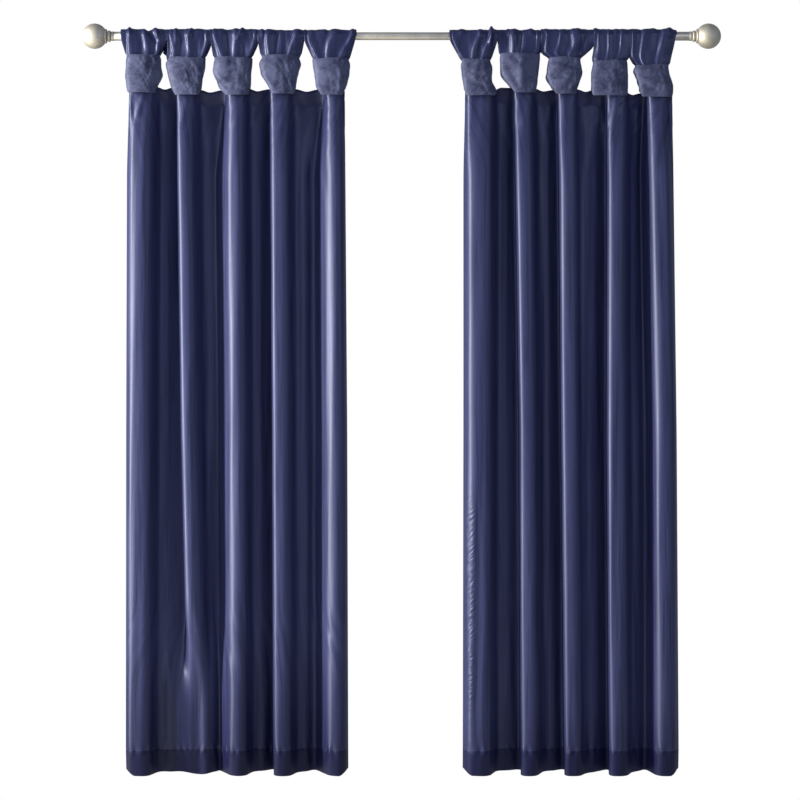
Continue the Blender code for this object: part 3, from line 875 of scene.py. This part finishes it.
# %% Turned pieces
TUBE_END = 822.0
SEAT_GAP = 0.3
BROKEN_CORNER = 0.5
BALL_RADIUS = 36.0
BALL_CENTRE = 877.5
GROOVE_RADIUS = 11.5
Bead = namedtuple("Bead", "start end radius")
BEADS = (Bead(822.3, 830.5, 13.6), Bead(831.5, 840.5, 16.2), Bead(841.5, 849.0, 20.5))
BEAD_POWER = 2.6
SIDES = 72
metal_pieces = []


def turned_piece(name, profile, node):
    """Carry a profile of (x, radius) round the X axis: y = −radius × cos, z = radius × sin of each turn."""
    turn = np.linspace(0.0, 2.0 * math.pi, SIDES + 1)
    x, radius = profile[:, :1], profile[:, 1:]
    points = np.stack((x + 0.0 * turn, -radius * np.cos(turn), radius * np.sin(turn)), axis=2)
    piece = grid_piece(name, points, closed=True)
    shell = bmesh.new()
    shell.from_mesh(piece.data)
    bmesh.ops.remove_doubles(shell, verts=shell.verts, dist=1e-6)
    bmesh.ops.recalc_face_normals(shell, faces=shell.faces)
    shell.to_mesh(piece.data)
    shell.free()
    piece.data.shade_smooth()
    piece.data.set_sharp_from_angle(angle=math.radians(50))
    stand_for(piece, node)
    metal_pieces.append(piece)
    print(f"{name}: {len(piece.data.polygons)} faces")


def tube_profile(start, end, radius):
    """A solid bar with its two end corners broken."""
    inner = radius - BROKEN_CORNER
    first, last = start + BROKEN_CORNER, end - BROKEN_CORNER
    return np.array(((start, 0.0), (start, inner), (first, radius), (last, radius), (end, inner), (end, 0.0)))


def finial_profile(side):
    """The ball from its outer pole down to the last bead, then three beads, each a flattened half circle."""
    lowest = math.pi - math.asin(BEADS[-1].radius / BALL_RADIUS * 0.98)
    turn = np.linspace(0.0, lowest, 45)
    lines = [np.stack((BALL_CENTRE + BALL_RADIUS * np.cos(turn), BALL_RADIUS * np.sin(turn)), axis=1)]
    reach = np.sin(np.linspace(1.0, -1.0, 15) * math.pi / 2)
    swell = np.maximum(1.0 - np.abs(reach) ** BEAD_POWER, 0.0) ** (1 / BEAD_POWER)
    for bead in reversed(BEADS):
        half = (bead.end - bead.start) / 2
        radius = GROOVE_RADIUS + (bead.radius - GROOVE_RADIUS) * swell
        lines.append(np.stack((bead.start + half + half * reach, radius), axis=1))
    lines.append(np.array([(BEADS[0].start, 0.0)]))
    return np.vstack(lines) * (side, 1.0)


# %% Make the rod and the balls
TUBES = (
    ("middle", LEFT_STEP + SEAT_GAP, RIGHT_STEP - SEAT_GAP, THIN_TUBE_RADIUS),
    ("left", -TUBE_END, LEFT_STEP, THICK_TUBE_RADIUS),
    ("right", RIGHT_STEP, TUBE_END, THICK_TUBE_RADIUS),
)
for place, start, end, radius in TUBES:
    turned_piece(f"tube_{place}", tube_profile(start, end, radius), f"rod_{place}")
for place, way in (("left", -1), ("right", 1)):
    turned_piece(f"ball_{place}", finial_profile(way), f"finial_{place}")

# %% [markdown]
# ## The cloth's finish
#
# Faux silk is a smooth satin with slubs, thicker threads that show as long faint streaks. Its colour is a
# deep navy and its shine is narrow and slightly blue. The streaks are a noise stretched in the UV map,
# where one unit is one metre of cloth: it is scaled far more across than along. The weave is a fine bump on
# top.
#
# The cloth comes in three copies. The panels have the first. The loops have a smoother one whose colour is painted
# darker, as painted shade. The foot hems have the dullest one, whose colour is painted darkest, as painted shade.
# Two numbers of the panels, the painted shade and "tight", darken and pucker the cloth from place to place.

# %% Helpers for node materials
def new_material(name):
    """A material and its shader node."""
    material = bpy.data.materials.new(name)
    material.use_nodes = True
    return material, material.node_tree.nodes["Principled BSDF"]


def fill(node, inputs):
    """Fill a node's inputs, each given by its name or number: a socket is linked, a value is set."""
    for key, value in inputs.items():
        if isinstance(value, bpy.types.NodeSocket):
            node.id_data.links.new(value, node.inputs[key])
        else:
            node.inputs[key].default_value = value


def add_node(tree, kind, inputs, **settings):
    """A new node of that kind in a tree, with its settings by name and its inputs filled."""
    node = tree.nodes.new(kind)
    for key, value in settings.items():
        setattr(node, key, value)
    fill(node, inputs)
    return node


def streaks(tree, coordinates, scale, detail):
    """Noise between 0 and 1 that is stretched along the axes with the smaller scales."""
    mapping = add_node(tree, "ShaderNodeMapping", {"Vector": coordinates, "Scale": scale})
    noise = {"Vector": mapping.outputs[0], "Scale": 1.0, "Detail": detail}
    return add_node(tree, "ShaderNodeTexNoise", noise).outputs[0]


def turned_by(tree, coordinates, rotation):
    """The coordinates, turned by angles round X, Y and Z."""
    return add_node(tree, "ShaderNodeMapping", {"Vector": coordinates, "Rotation": rotation}).outputs[0]


def ramp_between(tree, factor, low, high, dark, light):
    """A colour that goes from dark to light while the factor goes from low to high."""
    ramp = add_node(tree, "ShaderNodeValToRGB", {0: factor})
    for stop, position, colour in zip(ramp.color_ramp.elements, (low, high), (dark, light)):
        stop.position = position
        stop.color = (*colour, 1.0)
    return ramp.outputs[0]


def spread_between(tree, value, low, high, to_low, to_high):
    """The value, moved from the range low to high into the range to_low to to_high, and held inside it."""
    ends = {"From Min": low, "From Max": high, "To Min": to_low, "To Max": to_high}
    return add_node(tree, "ShaderNodeMapRange", {"Value": value, **ends}).outputs[0]


def blended(tree, share, colour, other, how="MIX"):
    """A colour and a share of another one, mixed or multiplied in."""
    mix = add_node(tree, "ShaderNodeMix", {}, data_type="RGBA", blend_type=how)
    fill(mix, {"Factor": share, "A": colour, "B": (*other, 1.0)})
    return mix.outputs["Result"]


def calculated(tree, operation, *values):
    """The result of one calculation on values or sockets."""
    return add_node(tree, "ShaderNodeMath", dict(enumerate(values)), operation=operation).outputs[0]


def sum_of(tree, first, second, share):
    """first + share × second."""
    return calculated(tree, "MULTIPLY_ADD", second, share, first)


def bumped(tree, height, distance):
    """A bump whose height of 1 stands for that distance in metres."""
    return add_node(tree, "ShaderNodeBump", {"Height": height, "Distance": distance, "Strength": 1.0}).outputs[0]


# %% Navy faux silk
# Colour that the painted shade multiplies the silk by, to paint shade in.
PAINTED_SHADE_TINT = (0.13, 0.15, 0.40)


def faux_silk(name, dark, light, smooth, rough, gloss):
    """Long streaks for colour, the finer ones for roughness too, and a fine crossed weave for the bump.

    Where the painted shade is above 0, the colour is multiplied by the shade tint, which paints the shade in.
    Where "tight" is above 0, slanting puckers join the bump. Both count as 0 on a piece that doesn't have them.
    """
    material, shader = new_material(name)
    tree = material.node_tree
    flat = add_node(tree, "ShaderNodeUVMap", {}, uv_map="cloth").outputs[0]
    layers = add_node(tree, "ShaderNodeAttribute", {}, attribute_name="layers").outputs["Fac"]
    tight = add_node(tree, "ShaderNodeAttribute", {}, attribute_name="tight").outputs["Fac"]
    broad = streaks(tree, flat, (60.0, 1.4, 1.0), 2.0)
    slub = streaks(tree, flat, (210.0, 5.0, 1.0), 3.0)
    threads = streaks(tree, flat, (1500.0, 60.0, 1.0), 1.0)
    weft = streaks(tree, flat, (50.0, 1300.0, 1.0), 1.0)
    slanting = streaks(tree, turned_by(tree, flat, (0.0, 0.0, 0.7)), (22.0, 130.0, 1.0), 1.0)
    colour = ramp_between(tree, sum_of(tree, broad, slub, 0.9), 0.75, 1.15, dark, light)
    weave = sum_of(tree, sum_of(tree, slub, threads, 0.5), weft, 0.35)
    relief = sum_of(tree, weave, calculated(tree, "MULTIPLY", slanting, tight), 22.0)
    looks = {
        # Painted shade: the colour is multiplied darker where the painted shade attribute is above 0.
        "Base Color": blended(tree, layers, colour, PAINTED_SHADE_TINT, "MULTIPLY"),
        "Roughness": spread_between(tree, slub, 0.3, 0.7, smooth, rough),
        "Normal": bumped(tree, relief, 0.00015),
        "Specular IOR Level": gloss,
        "Specular Tint": (0.77, 0.81, 1.0, 1.0),
        "Sheen Weight": 0.03,
        "Sheen Roughness": 0.4,
        "Sheen Tint": (0.62, 0.66, 0.9, 1.0),
    }
    fill(shader, looks)
    return material


silk = faux_silk("navy_faux_silk", (0.013, 0.016, 0.048), (0.027, 0.029, 0.079), 0.37, 0.47, 0.44)
# The loops' copy is painted darker than the panels', as painted shade. The foot hems' copy is painted darkest, as
# painted shade.
shaded_loop_silk = faux_silk("navy_faux_silk_loops", (0.011, 0.013, 0.042), (0.019, 0.021, 0.064), 0.33, 0.41, 0.46)
shaded_hem_silk = faux_silk("navy_faux_silk_hem", (0.006, 0.007, 0.034), (0.012, 0.013, 0.053), 0.43, 0.53, 0.25)
print("silk nodes:", len(silk.node_tree.nodes))

# %% [markdown]
# The bands are the same cloth turned on its side and crushed. Light breaks up on it into paler and darker
# patches, like velvet stroked both ways. Two noises make those patches, one slanting, and a soft sheen
# lifts the edges.

# %% Crushed cloth of the bands
def crushed_cloth(name, dark, light):
    """Slanting patches, flecks and cross-grain streaks for colour and bump, with a soft sheen."""
    material, shader = new_material(name)
    tree = material.node_tree
    flat = add_node(tree, "ShaderNodeUVMap", {}, uv_map="cloth").outputs[0]
    place = add_node(tree, "ShaderNodeTexCoord", {}).outputs["Object"]
    slanting = turned_by(tree, place, (0.0, 0.6, 0.0))
    patches = streaks(tree, slanting, (22.0, 22.0, 34.0), 3.0)
    flecks = streaks(tree, slanting, (110.0, 110.0, 200.0), 3.0)
    grain = streaks(tree, flat, (40.0, 700.0, 1.0), 2.0)
    tone = sum_of(tree, sum_of(tree, patches, flecks, 0.7), grain, 0.2)
    relief = sum_of(tree, sum_of(tree, patches, flecks, 0.45), grain, 0.2)
    looks = {
        "Base Color": ramp_between(tree, tone, 0.76, 1.14, dark, light),
        "Roughness": 0.55,
        "Normal": bumped(tree, relief, 0.0019),
        "Specular IOR Level": 0.35,
        "Specular Tint": (0.8, 0.84, 1.0, 1.0),
        "Sheen Weight": 0.35,
        "Sheen Roughness": 0.45,
        "Sheen Tint": (0.6, 0.65, 0.9, 1.0),
    }
    fill(shader, looks)
    return material


# The bands' colour is painted lighter than the panels', as painted sheen of the cross grain. Their paler and
# darker patches are painted sheen of the crushed pile.
crushed = crushed_cloth("navy_crushed_bands", (0.025, 0.027, 0.059), (0.058, 0.062, 0.112))
FINISHES = {"hung": (silk, shaded_hem_silk), "loop": (shaded_loop_silk,), "wrap": (crushed,)}
for piece in pieces_of_cloth:
    for finish in FINISHES[piece.name.split("_")[0]]:
        piece.data.materials.append(finish)
print("cloth pieces:", len(pieces_of_cloth))

# %% [markdown]
# ## The metal's finish
#
# The rod and the balls are brushed nickel, warm grey rather than chrome. Brushing leaves fine lines round the
# axis: noise in Object coordinates, fine along the rod and long round it. In the grooves between the beads the
# colour is painted darker, as painted shade, so the colour also depends on the distance from the rod's axis and on
# the place along it.

# %% Brushed nickel
BEADS_END = 0.851
IN_GROOVE, ON_BEAD = 0.0112, 0.0134
# Colour of the painted shade in the grooves between the beads.
GROOVE_SHADE_COLOUR = (0.05, 0.045, 0.035)


def groove_shade(tree, place):
    """How much painted shade darkens a place in a groove between the beads, up to 0.85, from its distance to the
    axis in metres.
    """
    parts = add_node(tree, "ShaderNodeSeparateXYZ", {0: place}).outputs
    radial = add_node(tree, "ShaderNodeCombineXYZ", {"Y": parts["Y"], "Z": parts["Z"]}).outputs[0]
    radius = add_node(tree, "ShaderNodeVectorMath", {0: radial}, operation="LENGTH").outputs["Value"]
    inner = calculated(tree, "LESS_THAN", calculated(tree, "ABSOLUTE", parts["X"]), BEADS_END)
    return calculated(tree, "MULTIPLY", inner, spread_between(tree, radius, IN_GROOVE, ON_BEAD, 0.85, 0.0))


def brushed_nickel(name, shade_grooves, colours, smooth, rough):
    """Fine lines round the axis in colour and roughness. The second argument says whether the grooves between the
    beads get painted shade.
    """
    material, shader = new_material(name)
    tree = material.node_tree
    place = add_node(tree, "ShaderNodeTexCoord", {}).outputs["Object"]
    lines = streaks(tree, place, (1400.0, 30.0, 30.0), 2.0)
    cloud = streaks(tree, place, (22.0, 22.0, 22.0), 2.0)
    colour = ramp_between(tree, sum_of(tree, cloud, lines, 0.4), 0.45, 1.0, *colours)
    # Painted shade: the grooves between the beads are painted darker.
    if shade_grooves:
        colour = blended(tree, groove_shade(tree, place), colour, GROOVE_SHADE_COLOUR)
    shine = spread_between(tree, lines, 0.3, 0.7, smooth, rough)
    fill(shader, {"Base Color": colour, "Roughness": shine, "Metallic": 1.0})
    return material


nickel = brushed_nickel("brushed_nickel_rod", False, ((0.58, 0.53, 0.415), (0.74, 0.685, 0.57)), 0.42, 0.50)
nickel_ball = brushed_nickel("brushed_nickel_ball", True, ((0.51, 0.465, 0.36), (0.65, 0.60, 0.495)), 0.60, 0.70)
for piece in metal_pieces:
    piece.data.materials.append(nickel_ball if piece.name.startswith("ball") else nickel)
print("metal pieces:", len(metal_pieces))

# %% [markdown]
# ## Floor, light and camera
#
# Satin shows its shape by what it reflects. A tall narrow light far to the left draws one bright line down
# the shoulder of each fold and leaves the rest dark. Three soft lights, cool and much weaker, come from the
# front left, the right and above, and a dim bluish sky fills the shadows. The floor is painted a little
# warm, so that it looks neutral under them, and the background is plain white.

# %% Floor
FLOOR_SIDE = 3.0
FLOOR_FRONT, FLOOR_BACK = -3.0, 0.6
FLOOR_HEIGHT = -2.32
floor_corners = [
    (-FLOOR_SIDE, FLOOR_FRONT, FLOOR_HEIGHT),
    (FLOOR_SIDE, FLOOR_FRONT, FLOOR_HEIGHT),
    (FLOOR_SIDE, FLOOR_BACK, FLOOR_HEIGHT),
    (-FLOOR_SIDE, FLOOR_BACK, FLOOR_HEIGHT),
]
floor_mesh = bpy.data.meshes.new("floor")
floor_mesh.from_pydata(floor_corners, [], [(0, 1, 2, 3)])
floor = bpy.data.objects.new("floor", floor_mesh)
bpy.context.scene.collection.objects.link(floor)
floor_paint, floor_shader = new_material("pale_floor")
fill(floor_shader, {"Base Color": (0.86, 0.81, 0.72, 1.0), "Roughness": 0.7})
floor_mesh.materials.append(floor_paint)

# %% Lights
def add_light(name, place, target, width, height, power, colour=(1.0, 1.0, 1.0)):
    """A rectangular light at a place, turned to face the target."""
    lamp = bpy.data.lights.new(name, "AREA")
    lamp.shape = "RECTANGLE"
    lamp.size = width
    lamp.size_y = height
    lamp.energy = power
    lamp.color = colour
    holder = bpy.data.objects.new(name, lamp)
    bpy.context.scene.collection.objects.link(holder)
    holder.location = place
    way = np.array(target) - np.array(place)
    flat = math.hypot(way[0], way[1])
    holder.rotation_euler = (math.pi / 2 + math.atan2(way[2], flat), 0.0, math.atan2(-way[0], way[1]))


COOL = (0.64, 0.74, 1.0)
add_light("tall_left", (-4.6, -1.5, -0.4), (0.0, 0.0, -0.4), 0.36, 3.4, 570.0)
add_light("soft_front", (-3.8, -6.4, 0.4), (0.0, 0.0, -0.9), 2.6, 2.6, 110.0, COOL)
add_light("soft_right", (4.5, -5.0, 0.6), (0.0, 0.0, -0.9), 2.6, 2.6, 70.0, COOL)
add_light("soft_top", (-1.0, -2.5, 3.2), (0.0, 0.0, -0.1), 2.5, 1.2, 14.0, COOL)

# %% White background for the camera, a dim sky for everything else
world = bpy.data.worlds.new("studio")
bpy.context.scene.world = world
world.use_nodes = True
tree = world.node_tree
sky = tree.nodes["Background"]
fill(sky, {"Color": (0.70, 0.79, 1.0, 1.0), "Strength": 0.30})
plain = add_node(tree, "ShaderNodeBackground", {"Color": (1.0, 1.0, 1.0, 1.0), "Strength": 1.0})
from_camera = add_node(tree, "ShaderNodeLightPath", {}).outputs["Is Camera Ray"]
choice = add_node(tree, "ShaderNodeMixShader", {0: from_camera, 1: sky.outputs[0], 2: plain.outputs[0]})
fill(tree.nodes["World Output"], {0: choice.outputs[0]})
bpy.context.scene.view_settings.view_transform = "Standard"

# %% [markdown]
# The camera stands straight in front, level with the middle of the curtains and 6.5 m away. The lens then
# follows from the width that the picture takes in at the rod.

# %% Camera
DISTANCE = 6.5
PICTURE_WIDTH = 2.288
camera = bpy.data.cameras.new("camera")
camera.sensor_width = 36.0
camera.lens = camera.sensor_width * DISTANCE / PICTURE_WIDTH
viewer = bpy.data.objects.new("camera", camera)
viewer.location = (-0.0043, -DISTANCE, -1.0405)
viewer.rotation_euler = (math.pi / 2, 0.0, 0.0)
bpy.context.scene.collection.objects.link(viewer)
bpy.context.scene.camera = viewer
print("lens:", round(camera.lens, 1), "mm")
